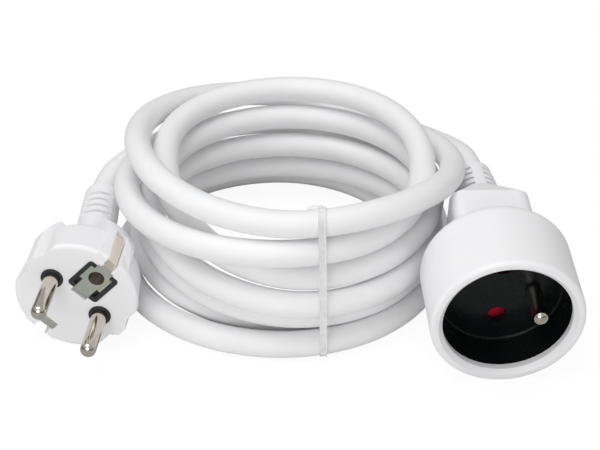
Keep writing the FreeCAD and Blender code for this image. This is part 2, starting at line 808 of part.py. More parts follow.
def plug_strain_relief():
    """The bend relief behind the plug's grip, leaning the way the cable leaves it, with a rounded end
    and four short slots on its upper and lower sides."""
    length = size.plug_relief_length
    body = doc.addObject("PartDesign::Body", "PlugReliefBody")
    root = size.plug_relief_dia / 2
    tip = size.relief_tip_dia / 2
    revolve(body, "ReliefTurned", [
        (0, -4),
        (root, -4),
        (tip, 2 - length),
        (tip - 2, -length, Size(2.0, "2.0")),
        (0, -length),
    ])
    slots = relief_slots("PlugRelief", -Size(16.3, "16.3"), 3.5, 4, 4.7, 8.6, turn=90)
    ahead = doc.addObject("Part::Box", "PlugReliefEnd")
    ahead.Length, ahead.Width, ahead.Height = 60, 60, 40
    start = FreeCAD.Placement(Vector(-30, -30, -number(size.plug_length)), FreeCAD.Rotation())
    ahead.Placement = plug_relief_place.inverse().multiply(plug_place).multiply(start)
    return finish(cut("PlugStrainRelief", body, fuse("PlugReliefCuts", slots, ahead)), "plug_strain_relief",
                  plug_relief_place)


# ---------------------------------------------------------------------------------------------------
# Cable
# ---------------------------------------------------------------------------------------------------
cable_r = number(size.cable_dia) / 2
COIL_CENTRE = Vector(-63.8, 29.5, 0)
# One row a turn, from the table upwards: the turn's distance from the coil's centre and the height of
# its centre line where it passes the back, the right, the front and the left.
TURNS = [
    ((70.5, 15.0), (53.0, 6.2), (50.4, 5.95), (55.0, 4.3)),
    ((53.5, 4.3), (43.0, 5.0), (39.0, 6.0), (49.2, 13.3)),
    ((43.5, 13.6), (44.8, 14.5), (44.6, 13.7), (46.4, 23.2)),
    ((41.8, 22.8), (44.4, 23.8), (51.2, 21.8), (43.0, 32.3)),
    ((43.6, 32.3), (46.8, 33.8), (44.6, 30.8), (39.2, 41.0)),
    ((46.6, 42.4), (42.0, 42.2), (51.6, 38.9), (52.8, 33.2)),
    ((55.5, 25.0), (53.8, 46.0), (46.8, 50.4), (48.6, 48.0)),
    ((67.0, 30.0),),
]
# The free stretches, from the fitting to the coil. The first run of each leaves its fitting square,
# and the coil carries on from the last point.
PLUG_END = number(size.plug_relief_length)
SOCKET_END = number(size.slope_back + size.socket_relief_length)
FIRST_RUN = 12.0
TO_PLUG = [
    plug_relief_place.multVec(Vector(0, 0, -PLUG_END)),
    plug_relief_place.multVec(Vector(0, 0, -PLUG_END - FIRST_RUN)),
    Vector(-122.9, 63.6, 22.6),
    Vector(-117.3, 74.4, 22.2),
]
TO_SOCKET = [
    socket_place.multVec(Vector(0, 0, -SOCKET_END)),
    socket_place.multVec(Vector(0, 0, -SOCKET_END - FIRST_RUN)),
    Vector(-8.5, 61.1, 32.0),
    Vector(-14.9, 71.8, 32.3),
]
BEARINGS = [Vector(0, 1, 0), Vector(1, 0, 0), Vector(0, -1, 0), Vector(-1, 0, 0)]


def coil_stations():
    """The points that the coil passes, each with the direction in which it passes: one at every
    quarter turn, worked out from the turns' table, and one at each end."""
    straight = 0.8 * cable_r
    lead = (TO_PLUG[-1] - TO_PLUG[-2]).normalize()
    tail = (TO_SOCKET[-2] - TO_SOCKET[-1]).normalize()
    points = [TO_PLUG[-1] + lead * straight]
    headings = [lead]
    quarters = []
    for turn in TURNS:
        for quarter, (distance, height) in enumerate(turn):
            quarters.append((quarter, COIL_CENTRE + BEARINGS[quarter] * distance + Vector(0, 0, height)))
    for i, (quarter, point) in enumerate(quarters):
        before = quarters[max(i - 1, 0)][1]
        after = quarters[min(i + 1, len(quarters) - 1)][1]
        level = Vector(after.x - before.x, after.y - before.y, 0).Length
        rise = (after.z - before.z) / (level * 1.11)
        if i in (0, len(quarters) - 1):
            rise = 0
        points.append(point)
        headings.append((BEARINGS[(quarter + 1) % 4] + Vector(0, 0, rise)).normalize())
    points.append(TO_SOCKET[-1] - tail * straight)
    headings.append(tail)
    return points, headings


def arc_from(start, heading, end):
    """The arc that leaves start along heading and reaches end."""
    chord = end - start
    along = Vector(chord).normalize()
    across = heading - along * heading.dot(along)
    if across.Length < 1e-6:
        return Part.LineSegment(start, end)
    half = math.acos(max(-1.0, min(1.0, heading.dot(along)))) / 2
    middle = (start + end) / 2 + across.normalize() * (chord.Length / 2 * math.tan(half))
    return Part.Arc(start, middle, end)


def biarc(start, heading, end, last):
    """Two arcs that meet smoothly, from start along heading to end along last."""
    gap = end - start
    both = heading + last
    spread = 2 * (1 - heading.dot(last))
    reach = gap.dot(both)
    if spread < 1e-6:
        length = gap.Length ** 2 / (2 * reach)
    else:
        length = (math.sqrt(reach ** 2 + spread * gap.Length ** 2) - reach) / spread
    joint = (start + end + (heading - last) * length) / 2
    turned = (joint - (start + heading * length)).normalize()
    return [arc_from(start, heading, joint), arc_from(joint, turned, end)]


def coil_path():
    """The coil's centre line as arcs and two straight ends."""
    points, headings = coil_stations()
    path = [Part.LineSegment(TO_PLUG[-1], points[0])]
    for i in range(len(points) - 1):
        path += biarc(points[i], headings[i], points[i + 1], headings[i + 1])
    path.append(Part.LineSegment(points[-1], TO_SOCKET[-1]))
    return path


def least_gap(path, step=1.5):
    """For each two arcs of the path, the least distance between the cable's surfaces at places over
    six diameters apart along it, with the two places."""
    samples = []
    for i, curve in enumerate(path):
        count = max(2, int(curve.length() / step))
        first, last = curve.FirstParameter, curve.LastParameter
        for j in range(count):
            samples.append((curve.value(first + (last - first) * j / count), i))
    apart = int(12 * cable_r / step)
    best = {}
    for i, (p, a) in enumerate(samples):
        for q, b in samples[i + apart:]:
            if abs(p.z - q.z) > 10 or abs(p.x - q.x) > 10 or abs(p.y - q.y) > 10:
                continue
            gap = p.distanceToPoint(q) - 2 * cable_r
            if gap < best.get((a, b), (9.0,))[0]:
                best[(a, b)] = (gap, p, q)
    return best


def cable_coil():
    """The coiled cable as one unbroken tube, eight-sided, swept along its arcs."""
    path = coil_path()
    wire = Part.Wire([curve.toShape() for curve in path])
    start = TO_PLUG[-1]
    along = (TO_PLUG[-1] - TO_PLUG[-2]).normalize()
    side = Vector(0, 0, 1).cross(along).normalize()
    up = along.cross(side)
    corner_r = cable_r * 1.054
    corners = []
    for i in range(9):
        angle = math.radians(45 * i + 22.5)
        corners.append(start + side * (corner_r * math.cos(angle)) + up * (corner_r * math.sin(angle)))
    shell = Part.BRepOffsetAPI.MakePipeShell(wire)
    shell.add(Part.makePolygon(corners), False, False)
    shell.build()
    shell.makeSolid()
    below = Part.makeBox(400, 400, 10, Vector(-300, -200, -10))
    obj = doc.addObject("Part::Feature", "CableCoil")
    obj.Shape = shell.shape().cut(below)
    print("coil length %.0f mm, volume %.0f, section times length %.0f" % (
        wire.Length, obj.Shape.Volume, 2 * math.sqrt(2) * corner_r ** 2 * wire.Length))
    print("coil tightest arc %.1f mm" % (
        1 / max(curve.curvature(curve.FirstParameter) for curve in path)))
    return finish(obj, "cable_coil", FreeCAD.Placement())


def tube_along(label, points):
    """A free stretch of cable: straight runs joined by tangent arcs as large as the runs allow."""
    edges = []
    here = points[0]
    length = 0
    for i in range(1, len(points) - 1):
        into = points[i] - points[i - 1]
        out = points[i + 1] - points[i]
        half = into.getAngle(out) / 2
        cut_back = 0.45 * min(into.Length, out.Length)
        radius = cut_back / math.tan(half)
        print("%s bend %d: radius %.0f mm" % (label, i, radius))
        start = points[i] - Vector(into).normalize() * cut_back
        end = points[i] + Vector(out).normalize() * cut_back
        edges.append(Part.LineSegment(here, start))
        edges.append(arc_from(start, Vector(into).normalize(), end))
        here = end
    edges.append(Part.LineSegment(here, points[-1]))
    wire = Part.Wire([edge.toShape() for edge in edges])
    ring = Part.Wire([Part.Circle(points[0], (points[1] - points[0]).normalize(), cable_r).toShape()])
    shape = wire.makePipeShell([ring], True, False)
    print("%s: %.0f mm long, volume %.0f, section times length %.0f" % (
        label, wire.Length, shape.Volume, math.pi * cable_r ** 2 * wire.Length))
    obj = doc.addObject("Part::Feature", label)
    obj.Shape = shape
    return finish(obj, label, FreeCAD.Placement())


# ---------------------------------------------------------------------------------------------------
# Tie
# ---------------------------------------------------------------------------------------------------
TIE_X = -54.3
TIE_WIDTH = 3.0
TIE_THICKNESS = 0.6


def strands_at(x, path):
    """Where the coil's front strands cross the plane at x."""
    found = []
    for curve in path:
        first, last = curve.FirstParameter, curve.LastParameter
        previous = curve.value(first)
        for j in range(1, 25):
            here = curve.value(first + (last - first) * j / 24)
            if (previous.x - x) * (here.x - x) <= 0 and here.y < COIL_CENTRE.y:
                share = (x - previous.x) / (here.x - previous.x)
                found.append(previous + (here - previous) * share)
            previous = here
    return found


def hull(points):
    """The convex outline of points in a plane of constant x, anticlockwise."""
    flat = sorted({(round(p.y, 4), round(p.z, 4)) for p in points})
    sides = []
    for row in (flat, flat[::-1]):
        side = []
        for y, z in row:
            while len(side) > 1:
                (y0, z0), (y1, z1) = side[-2:]
                if (y1 - y0) * (z - z0) - (z1 - z0) * (y - y0) > 0:
                    break
                side.pop()
            side.append((y, z))
        sides += side[:-1]
    return sides


def tie_strap():
    """A thin clear strap pulled round the front of the coil: straight from strand to strand and bent
    round the outermost ones."""
    corners = [Vector(TIE_X - TIE_WIDTH / 2, y, z) for y, z in hull(strands_at(TIE_X, coil_path()))]
    loop = Part.makePolygon(corners + corners[:1])
    inner = Part.Face(loop.makeOffset2D(cable_r * 1.054 + 0.25))
    outer = Part.Face(loop.makeOffset2D(cable_r * 1.054 + 0.25 + TIE_THICKNESS))
    band = outer.cut(inner).extrude(Vector(TIE_WIDTH, 0, 0))
    obj = doc.addObject("Part::Feature", "TieStrap")
    obj.Shape = band
    finish(obj, "tie_strap", FreeCAD.Placement())
    top = max(corners, key=lambda p: p.z)
    seam_z = top.z + cable_r * 1.054 + 0.25 + TIE_THICKNESS
    seam = doc.addObject("Part::Feature", "TieSeam")
    tab = Part.makeBox(TIE_WIDTH, 5.0, 0.7, Vector(TIE_X - TIE_WIDTH / 2, top.y - 1.0, seam_z))
    seam.Shape = tab.cut(band)
    return finish(seam, "tie_seam", FreeCAD.Placement())


socket_housing()
socket_strain_relief()
socket_insert()
contact_carrier()
contact("live", 1)
contact("neutral", -1)
earth_pin()
shutter()
shutter_spring()
plug_body()
pin_bridge()
plug_pin("live", 1)
plug_pin("neutral", -1)
earth_clip()
earth_sleeve()
plug_strain_relief()
tube_along("cable_to_plug", TO_PLUG)
tube_along("cable_to_socket", TO_SOCKET)
cable_coil()
tie_strap()
print("coil's least gap %.2f mm" % min(gap for gap, _, _ in least_gap(coil_path()).values()))
doc.recompute()
for obj in doc.Objects:
    if "Invalid" in obj.State or "Error" in obj.State:
        raise RuntimeError("%s did not build: %s" % (obj.Name, obj.State))
for node in nodes:
    if node.Shape.isNull() or not node.Shape.isValid():
        raise RuntimeError("%s has no sound shape" % node.Label)
for node in nodes:
    node.Shape.exportStep("parts/%s.step" % node.Label)
print("%d parts written" % len(nodes))
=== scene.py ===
import math

import bmesh
import bpy
import numpy as np
from mathutils import Matrix, Vector


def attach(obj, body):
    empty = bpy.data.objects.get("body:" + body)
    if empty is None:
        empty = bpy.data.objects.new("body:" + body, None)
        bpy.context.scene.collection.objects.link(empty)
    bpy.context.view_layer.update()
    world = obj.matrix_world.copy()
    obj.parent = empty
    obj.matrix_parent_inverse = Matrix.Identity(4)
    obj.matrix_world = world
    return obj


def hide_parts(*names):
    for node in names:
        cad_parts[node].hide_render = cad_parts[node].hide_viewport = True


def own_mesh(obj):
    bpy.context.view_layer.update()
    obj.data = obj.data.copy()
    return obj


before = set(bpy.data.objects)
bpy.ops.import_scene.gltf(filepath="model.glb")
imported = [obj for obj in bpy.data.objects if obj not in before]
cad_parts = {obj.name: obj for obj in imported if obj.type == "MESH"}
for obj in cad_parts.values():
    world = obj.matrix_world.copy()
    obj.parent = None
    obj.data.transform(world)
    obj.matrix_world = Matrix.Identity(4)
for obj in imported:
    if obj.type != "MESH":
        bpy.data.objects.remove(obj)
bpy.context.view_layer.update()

# ------------------------------------------------------------------------------------------------
# Socket housing: a barrel, a flat-sided neck and a bend relief in soft white PVC, moulded in one
# shot over the black insert and the end of the cable.
# ------------------------------------------------------------------------------------------------


def colour(code):
    """An sRGB hex colour as the linear colour that a shader takes."""
    channels = [int(code[i:i + 2], 16) / 255 for i in (1, 3, 5)]
    return [c / 12.92 if c <= 0.04045 else ((c + 0.055) / 1.055) ** 2.4 for c in channels] + [1.0]


def feed(node, inputs):
    """Gives a node's inputs their values, or joins them to the sockets that feed them."""
    for name, value in dict(inputs).items():
        if isinstance(value, bpy.types.NodeSocket):
            node.id_data.links.new(value, node.inputs[name])
        else:
            node.inputs[name].default_value = value


def add_node(tree, kind, inputs=(), **settings):
    """A shader node with its own settings and inputs; gives its first output."""
    made = tree.nodes.new(kind)
    for name, value in settings.items():
        setattr(made, name, value)
    feed(made, inputs)
    return made.outputs[0]


def material(name):
    """A new material, its node tree, its Principled shader and the coordinates its patterns use."""
    made = bpy.data.materials.new(name)
    made.use_nodes = True
    tree = made.node_tree
    place = tree.nodes.new("ShaderNodeTexCoord").outputs["Object"]
    return made, tree, tree.nodes["Principled BSDF"], place


def blend_colours(tree, factor, low, high):
    """A colour that runs from one hex colour to another with the factor."""
    return add_node(tree, "ShaderNodeMix", {"Factor": factor, 6: colour(low), 7: colour(high)},
                    data_type="RGBA").node.outputs[2]


def noise(tree, place, scale, detail=2.0, **more):
    """Noise with patches about 1 / scale metres across."""
    return add_node(tree, "ShaderNodeTexNoise", {
        "Vector": place, "Scale": scale, "Detail": detail, **more})


def spread(tree, value, low, high, start=0.0, end=1.0):
    """A number that runs from low to high while the value runs from start to end."""
    return add_node(tree, "ShaderNodeMapRange", {
        "Value": value, "From Min": start, "From Max": end, "To Min": low, "To Max": high})


def relief(tree, height, strength, depth, **below):
    """A normal that follows a pattern's height, over the Normal below it if there is one."""
    return add_node(tree, "ShaderNodeBump", {
        "Height": height, "Strength": strength, "Distance": depth, **below})


def finish_nodes(look, *names):
    """Gives CAD nodes their material."""
    for name in names:
        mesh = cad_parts[name].data
        mesh.materials.clear()
        mesh.materials.append(look)


def moulded_pvc():
    """Soft PVC moulded in a fine spark-eroded cavity: IOR 1.53, satin, light passes a little way
    into it. Flow marks about 15 mm across change its gloss; the grain is drawn 0.6 mm wide so
    that it shows."""
    made, tree, shader, place = material("moulded_pvc")
    flow = noise(tree, place, 65.0)
    grain = noise(tree, place, 1600.0)
    feed(shader, {
        "Base Color": blend_colours(tree, flow, "#f3f2f4", "#f9f8fa"),
        "IOR": 1.53,
        "Roughness": spread(tree, flow, 0.38, 0.5),
        "Subsurface Weight": 0.15,
        "Subsurface Radius": (1.0, 0.95, 0.9),
        "Subsurface Scale": 0.002,
        "Normal": relief(tree, grain, 0.08, 0.0002),
    })
    return made


overmould = moulded_pvc()
finish_nodes(overmould, "socket_housing", "socket_strain_relief")

# ------------------------------------------------------------------------------------------------
# Socket insert: the hard black cup in the mouth and the carrier behind it, injection moulded in a
# polished cavity. The cup's floor meets its wall in a small fillet.
# ------------------------------------------------------------------------------------------------
# The middle of the mouth's face, and how the socket is turned: yaw, pitch and roll in degrees.
SOCKET_MOUTH = Vector((0.0009, -0.03533, 0.02308))
SOCKET_TURN = (3.91, -5.38, -2.01)
CUP_RADIUS = 0.0194
CUP_FLOOR = -0.0150
CUP_FILLET = 0.0007
# How far the fillet's hidden faces lie inside the cup's wall and floor.
FILLET_SUNK = 0.0001


def add_object(name, data):
    """A new object in the scene, at the origin."""
    made = bpy.data.objects.new(name, data)
    bpy.context.collection.objects.link(made)
    return made


def fitting_axes(yaw, pitch, roll):
    """A fitting's axes as rows: its Z points out of its face along yaw (from -Y towards +X) and
    pitch, and its X points down, turned by roll about Z."""
    a, b, c = (math.radians(angle) for angle in (yaw, pitch, roll))
    out = Vector((math.sin(a) * math.cos(b), -math.cos(a) * math.cos(b), math.sin(b)))
    down = (out * out.z - Vector((0, 0, 1))).normalized()
    x = down * math.cos(c) + out.cross(down) * math.sin(c)
    return np.array([x, out.cross(x), out])


def turned(name, profile, base, axes, aside=(0.0, 0.0), steps=64):
    """A surface of revolution. Each point of the profile (radius, height) goes round the
    fitting's Z: base + X * (aside + radius cos) + Y * (aside + radius sin) + Z * height. A
    profile that starts with no radius ends with none too, and those two points are poles, made
    once; otherwise its last ring joins its first. It runs with the solid on its left, seen with
    radius to the right and height up."""
    profile = np.array(profile)
    poles = profile[0, 0] < 1e-9
    rings = profile[1:-1] if poles else profile
    angle = np.linspace(0, 2 * math.pi, steps, endpoint=False)
    local = np.stack([aside[0] + rings[:, :1] * np.cos(angle),
                      aside[1] + rings[:, :1] * np.sin(angle),
                      np.repeat(rings[:, 1:], steps, 1)], -1).reshape(-1, 3)
    if poles:
        local = np.vstack([local, [[*aside, profile[0, 1]], [*aside, profile[-1, 1]]]])
    points = np.array(base) + local @ axes
    here = np.arange(steps)
    after = (here + 1) % steps
    row = np.arange(len(rings) - (1 if poles else 0))[:, None] * steps
    up = (row + steps) % (len(rings) * steps)
    faces = np.stack([row + here, row + after, up + after, up + here], -1).reshape(-1, 4).tolist()
    if poles:
        first, last = len(local) - 2, len(local) - 1
        end = (len(rings) - 1) * steps
        faces += np.stack([np.full(steps, first), after, here], -1).tolist()
        faces += np.stack([np.full(steps, last), end + here, end + after], -1).tolist()
    mesh = bpy.data.meshes.new(name)
    mesh.from_pydata(points.tolist(), [], faces)
    mesh.shade_smooth()
    return add_object(name, mesh)


def fillet_profile():
    """A quarter circle, hollow towards the cup, from wall to floor, then back behind both."""
    sweep = np.linspace(math.pi / 2, 0, 9)
    hollow = np.c_[CUP_RADIUS - CUP_FILLET * (1 - np.sin(sweep)),
                   CUP_FLOOR + CUP_FILLET * (1 - np.cos(sweep))]
    return np.vstack([hollow, [(CUP_RADIUS - CUP_FILLET, CUP_FLOOR - FILLET_SUNK),
                               (CUP_RADIUS + FILLET_SUNK, CUP_FLOOR - FILLET_SUNK),
                               (CUP_RADIUS + FILLET_SUNK, CUP_FLOOR + CUP_FILLET)]])


def black_polycarbonate():
    """Polycarbonate from a polished cavity: IOR 1.58, semi-gloss, black with a slight green cast
    in 7 mm clouds. Drag marks from the core, 2 mm apart, streak its gloss and catch the light
    faintly."""
    made, tree, shader, place = material("moulded_polycarbonate_black")
    cloud = noise(tree, place, 140.0, 3.0)
    marks = noise(tree, place, 480.0, 4.0, Distortion=1.5)
    feed(shader, {
        "Base Color": blend_colours(tree, cloud, "#090b0c", "#121718"),
        "IOR": 1.58,
        "Specular IOR Level": 0.22,
        "Roughness": spread(tree, marks, 0.2, 0.3, start=0.3, end=0.7),
        "Normal": relief(tree, marks, 0.03, 0.0003),
    })
    return made


insert_look = black_polycarbonate()
finish_nodes(insert_look, "socket_insert", "contact_carrier")
socket_axes = fitting_axes(*SOCKET_TURN)
fillet = turned("cup_fillet", fillet_profile(), SOCKET_MOUTH, socket_axes, steps=128)
fillet.data.materials.append(insert_look)
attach(fillet, "cord_set")

# ------------------------------------------------------------------------------------------------
# Contacts: two clips folded from bright rolled brass strip. They stand in the carrier's pockets,
# deep behind the shutter, and grip a plug's pins.
# ------------------------------------------------------------------------------------------------


def rolled_brass():
    """Bright rolled brass strip. Rolling lines 0.25 mm apart run along it and stretch what it
    reflects."""
    made, tree, shader, place = material("rolled_brass")
    stretched = add_node(tree, "ShaderNodeMapping", {
        "Vector": place, "Scale": (4000.0, 150.0, 4000.0)})
    lines = noise(tree, stretched, 1.0)
    feed(shader, {
        "Base Color": blend_colours(tree, lines, "#c9a85f", "#dcc07c"),
        "Metallic": 1.0,
        "Roughness": spread(tree, lines, 0.2, 0.34),
        "Normal": relief(tree, lines, 0.1, 0.0001),
    })
    return made


finish_nodes(rolled_brass(), "contact_spring_live", "contact_spring_neutral")

# ------------------------------------------------------------------------------------------------
# Shutter: a red bar that slides across the holes behind the cup's floor, moulded in acetal, and
# the steel wire spring that holds it shut.
# ------------------------------------------------------------------------------------------------


def red_acetal():
    """Moulded acetal: IOR 1.48, semi-gloss, slightly waxy, deep red with 4 mm clouds in its dye."""
    made, tree, shader, place = material("moulded_acetal_red")
    cloud = noise(tree, place, 250.0)
    feed(shader, {
        "Base Color": blend_colours(tree, cloud, "#b01832", "#c8203c"),
        "IOR": 1.48,
        "Roughness": spread(tree, cloud, 0.3, 0.42),
        "Subsurface Weight": 0.1,
        "Subsurface Scale": 0.001,
    })
    return made


def drawn_steel():
    """Drawn spring wire: die lines 0.1 mm apart, drawn 0.5 mm apart so that they show."""
    made, tree, shader, place = material("drawn_spring_steel")
    lines = noise(tree, place, 2000.0)
    feed(shader, {
        "Base Color": blend_colours(tree, lines, "#a8a8aa", "#c2c2c4"),
        "Metallic": 1.0,
        "Roughness": spread(tree, lines, 0.25, 0.4),
    })
    return made


finish_nodes(red_acetal(), "shutter")

# The spring's wire, copied from its CAD node with its doubled points welded so that it shades
# smooth; the CAD node itself is hidden.
spring = add_object("spring_wire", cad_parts["shutter_spring"].data.copy())
welded = bmesh.new()
welded.from_mesh(spring.data)
bmesh.ops.remove_doubles(welded, verts=welded.verts, dist=1e-6)
welded.to_mesh(spring.data)
welded.free()
spring.data.shade_smooth()
spring.data.materials.clear()
spring.data.materials.append(drawn_steel())
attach(spring, "cord_set")
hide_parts("shutter_spring")
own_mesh(spring)

# ------------------------------------------------------------------------------------------------
# Earth pin: turned brass, nickel plated, 4.8 mm across with a smooth domed tip, fixed in the
# cup's floor by the collar under it.
# ------------------------------------------------------------------------------------------------
# Heights are from the mouth's face along the socket's axis, and so negative inside it.
PIN_RADIUS = 0.0024
PIN_DOME = 0.0019
SHOULDER_CHAMFER = 0.00015
SHANK_RADIUS = 0.0020
EARTH_PIN_ASIDE = (0.0, 0.0100)
EARTH_PIN_TIP = -0.0007
COLLAR_RADIUS = 0.0035
COLLAR_FRONT = -0.0192
COLLAR_BACK = -0.0223
STUD_RADIUS = 0.0016
STUD_END = -0.0248


def pin_profile(tip, root, tail):
    """A pin's half outline, put together from the tip and then turned round to start at the tail:
    a quarter of an ellipse for the dome, a straight side, a chamfered shoulder at root, then the
    steps given in tail."""
    quarter = np.linspace(0, math.pi / 2, 14)
    dome = np.c_[PIN_RADIUS * np.sin(quarter), tip - PIN_DOME * (1 - np.cos(quarter))]
    heights = np.linspace(dome[-1, 1], root + SHOULDER_CHAMFER, 8)[1:]
    side = np.c_[np.full(len(heights), PIN_RADIUS), heights]
    return np.vstack([dome, side, [(PIN_RADIUS - SHOULDER_CHAMFER, root)], tail])[::-1]


def nickel_plate():
    """Bright nickel over turned brass: warm grey, nearly a mirror. Turning lines 0.3 mm apart run
    round it and soften its reflections a little; handling has left it duller in 3 mm patches."""
    made, tree, shader, place = material("nickel_plate")
    wear = noise(tree, place, 330.0, 3.0)
    squeezed = add_node(tree, "ShaderNodeMapping", {
        "Vector": place, "Scale": (300.0, 3300.0, 300.0)})
    lines = noise(tree, squeezed, 1.0, 1.0)
    feed(shader, {
        "Base Color": blend_colours(tree, wear, "#cfc8bd", "#e2dcd2"),
        "Metallic": 1.0,
        "Roughness": spread(tree, wear, 0.1, 0.2),
        "Normal": relief(tree, lines, 0.05, 0.0001),
    })
    return made


nickel = nickel_plate()
earth_pin = turned("earth_pin_turned", pin_profile(EARTH_PIN_TIP, CUP_FLOOR, [
    (SHANK_RADIUS, CUP_FLOOR), (SHANK_RADIUS, COLLAR_FRONT), (COLLAR_RADIUS, COLLAR_FRONT),
    (COLLAR_RADIUS, COLLAR_BACK), (STUD_RADIUS, COLLAR_BACK), (STUD_RADIUS, STUD_END),
    (0.0, STUD_END),
]), SOCKET_MOUTH, socket_axes, EARTH_PIN_ASIDE)
earth_pin.data.materials.append(nickel)
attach(earth_pin, "cord_set")
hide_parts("earth_pin")

# ------------------------------------------------------------------------------------------------
# Plug body: the plug's soft white PVC body and its bend relief, moulded over the bridge, the pins
# and the earth strips.
# ------------------------------------------------------------------------------------------------
finish_nodes(overmould, "plug_body", "plug_strain_relief")

# ------------------------------------------------------------------------------------------------
# Pin bridge: the hard dark part that holds both pins and frames the earth hole, moulded in
# glass-filled polyamide.
# ------------------------------------------------------------------------------------------------


def dark_polyamide():
    """Glass-filled polyamide: IOR 1.53, matt charcoal with a fibre mottle 0.8 mm across."""
    made, tree, shader, place = material("moulded_polyamide_dark")
    fibres = noise(tree, place, 1250.0, 3.0)
    feed(shader, {
        "Base Color": blend_colours(tree, fibres, "#1d1d21", "#35353a"),
        "IOR": 1.53,
        "Roughness": spread(tree, fibres, 0.42, 0.58),
        "Normal": relief(tree, fibres, 0.1, 0.0001),
    })
    return made


finish_nodes(dark_polyamide(), "pin_bridge")

# ------------------------------------------------------------------------------------------------
# Plug pins: two solid pins turned and plated as the earth pin is, 19 mm apart. The bridge is
# moulded round their shanks, and each is seated on a collar of it.
# ------------------------------------------------------------------------------------------------
# The middle of the plug's face, and how the plug is turned: yaw, pitch and roll in degrees. The
# pins' heights are from that face, and PIN_SEAT is the top of the bridge's collars.
PLUG_FACE = Vector((-0.1294, -0.0160, 0.0191))
PLUG_TURN = (-6.18, -1.40, 46.97)
PIN_SPACING = 0.0190
PIN_LENGTH = 0.0190
PIN_SEAT = 0.00015
SHANK_END = -0.0100

plug_axes = fitting_axes(*PLUG_TURN)
for label, side in (("live", 1), ("neutral", -1)):
    pin = turned("plug_pin_%s_turned" % label, pin_profile(PIN_LENGTH, PIN_SEAT, [
        (SHANK_RADIUS, PIN_SEAT), (SHANK_RADIUS, SHANK_END), (0.0, SHANK_END),
    ]), PLUG_FACE, plug_axes, (PIN_SPACING / 2 * side, 0.0))
    pin.data.materials.append(nickel)
    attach(pin, "cord_set")
    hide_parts("plug_pin_" + label)

# ------------------------------------------------------------------------------------------------
# Earth clip: one strip of tin-plated brass, pressed and bent down both sides of the plug and
# across its face, with the split sleeve behind it that grips a socket's earth pin.
# ------------------------------------------------------------------------------------------------


def tinned_strip():
    """Tin-plated brass strip: grey with a faint green, satin. The roll's lines, 0.4 mm apart, and
    darker 5 mm patches of tarnish show on its flats. Its faces that point up carry a painted
    highlight: their colour is painted lighter and warmer."""
    made, tree, shader, place = material("tinned_strip")
    tarnish = noise(tree, place, 200.0, 3.0)
    stretched = add_node(tree, "ShaderNodeMapping", {
        "Vector": place, "Rotation": (0.0, 0.8, 0.0), "Scale": (2500.0, 2500.0, 200.0)})
    lines = noise(tree, stretched, 1.0)
    # Painted highlight: faces that point up are painted lighter and warmer, where the light from
    # above falls.
    facing = tree.nodes.new("ShaderNodeTexCoord").outputs["Normal"]
    upward = add_node(tree, "ShaderNodeSeparateXYZ", {"Vector": facing}).node.outputs["Z"]
    painted_highlight = spread(tree, upward, 0.0, 1.0, start=0.3, end=0.6)
    grey = blend_colours(tree, tarnish, "#c6cbc1", "#e6eae0")
    tarnish_and_painted_highlight = add_node(tree, "ShaderNodeMix", {"Factor": painted_highlight, 6: grey, 7: colour("#fbf0e6")},
                    data_type="RGBA").node.outputs[2]
    feed(shader, {
        "Base Color": tarnish_and_painted_highlight,
        "Metallic": 1.0,
        "Roughness": spread(tree, tarnish, 0.3, 0.44),
        "Normal": relief(tree, lines, 0.1, 0.0001),
    })
    return made


finish_nodes(tinned_strip(), "earth_clip", "earth_sleeve")

# ------------------------------------------------------------------------------------------------
# Cable: 2.3 m of round flexible cable with a white PVC sheath, extruded over three cores. It runs
# from the socket, round the coil, to the plug, and is moulded into both bend reliefs.
# ------------------------------------------------------------------------------------------------
CABLE_DIAMETER = 0.0084
COIL_MIDDLE = np.array([-0.0638, 0.0295, 0.0])
# Where the coil's turns pass: turns made since it first passed the back, going clockwise seen
# from above, then the distance from the coil's middle and the height in millimetres.
PASSES = [
    (0.00, 70.5, 14.6), (0.25, 48.6, 5.0), (0.50, 50.4, 4.8), (0.75, 55.0, 4.3),
    (1.00, 53.5, 4.3), (1.25, 39.3, 4.6), (1.50, 38.9, 5.9), (1.62, 45.0, 9.0),
    (1.75, 49.3, 12.3), (2.00, 43.5, 12.6), (2.25, 44.4, 13.1), (2.50, 46.3, 12.8),
    (2.75, 46.4, 22.0), (3.00, 41.8, 21.8), (3.25, 44.8, 21.6), (3.50, 52.6, 20.7),
    (3.60, 50.3, 25.2), (3.75, 44.4, 31.2), (4.00, 43.8, 32.0), (4.25, 45.3, 30.8),
    (4.50, 48.2, 28.2), (4.75, 39.8, 41.0), (4.87, 45.3, 41.4), (5.00, 46.6, 41.4),
    (5.25, 41.7, 42.0), (5.37, 45.9, 37.2), (5.50, 51.6, 39.3), (5.75, 52.8, 33.2),
    (6.00, 55.5, 24.2), (6.25, 52.0, 38.2), (6.36, 50.9, 47.4), (6.50, 49.0, 47.6),
    (6.75, 48.6, 48.0), (7.00, 66.0, 28.2),
]
# Control points of the two ends: from the plug to the coil, and from the coil to the socket.
PLUG_LEAD = [(-0.1262, 0.0393, 0.0214), (-0.1256, 0.0490, 0.0218), (-0.1200, 0.0605, 0.0218),
             (-0.1100, 0.0748, 0.0206), (-0.0920, 0.0905, 0.0185)]
SOCKET_LEAD = [(-0.0400, 0.0890, 0.0234), (-0.0250, 0.0800, 0.0230), (-0.0145, 0.0680, 0.0252),
               (-0.0080, 0.0560, 0.0282), (-0.0050, 0.0470, 0.0299), (-0.0041, 0.0371, 0.0299)]
POINTS_PER_TURN = 12


